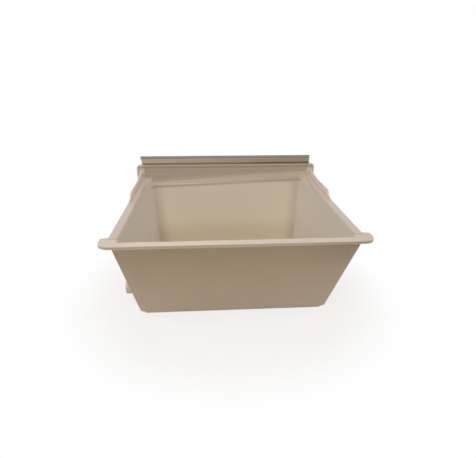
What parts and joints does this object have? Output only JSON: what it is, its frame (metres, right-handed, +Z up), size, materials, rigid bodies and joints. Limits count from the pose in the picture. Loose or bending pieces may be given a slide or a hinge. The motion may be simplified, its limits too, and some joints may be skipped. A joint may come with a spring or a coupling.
{
  "type": "fridge crisper drawer",
  "caption": "Deep moulded refrigerator drawer with a sloping rear wall, stepped side runners, rear ears and rollers, and a front panel under a full-width handle trim.",
  "frame": {"origin": "under the middle of the overall box, on the level surface that the pan's floor stands on", "axes": "+X across the drawer, -Y towards the handle, +Y towards the sloping rear wall, +Z up"},
  "size_m": [0.364, 0.379, 0.2045],
  "materials": {
    "pan_plastic": "satin almond moulding",
    "panel_plastic": "satin almond moulding",
    "trim_plastic": "satin grey-brown strip",
    "roller_plastic": "smooth, slightly worn",
    "pin_plastic": "smooth"
  },
  "bodies": {
    "drawer": {"drawer_pan": "pan_plastic", "front_panel": "panel_plastic", "handle_trim": "trim_plastic", "left_axle_pin": "pin_plastic", "right_axle_pin": "pin_plastic"},
    "left_roller": {"left_roller": "roller_plastic"},
    "right_roller": {"right_roller": "roller_plastic"}
  },
  "joints": [
    {"name": "left_roller_spin", "type": "hinge", "parent": "drawer", "child": "left_roller", "pos_m": [-0.17298, 0.0415, 0.03], "axis": [1, 0, 0], "continuous": true},
    {"name": "right_roller_spin", "type": "hinge", "parent": "drawer", "child": "right_roller", "pos_m": [0.17298, 0.0415, 0.03], "axis": [1, 0, 0], "continuous": true}
  ]
}
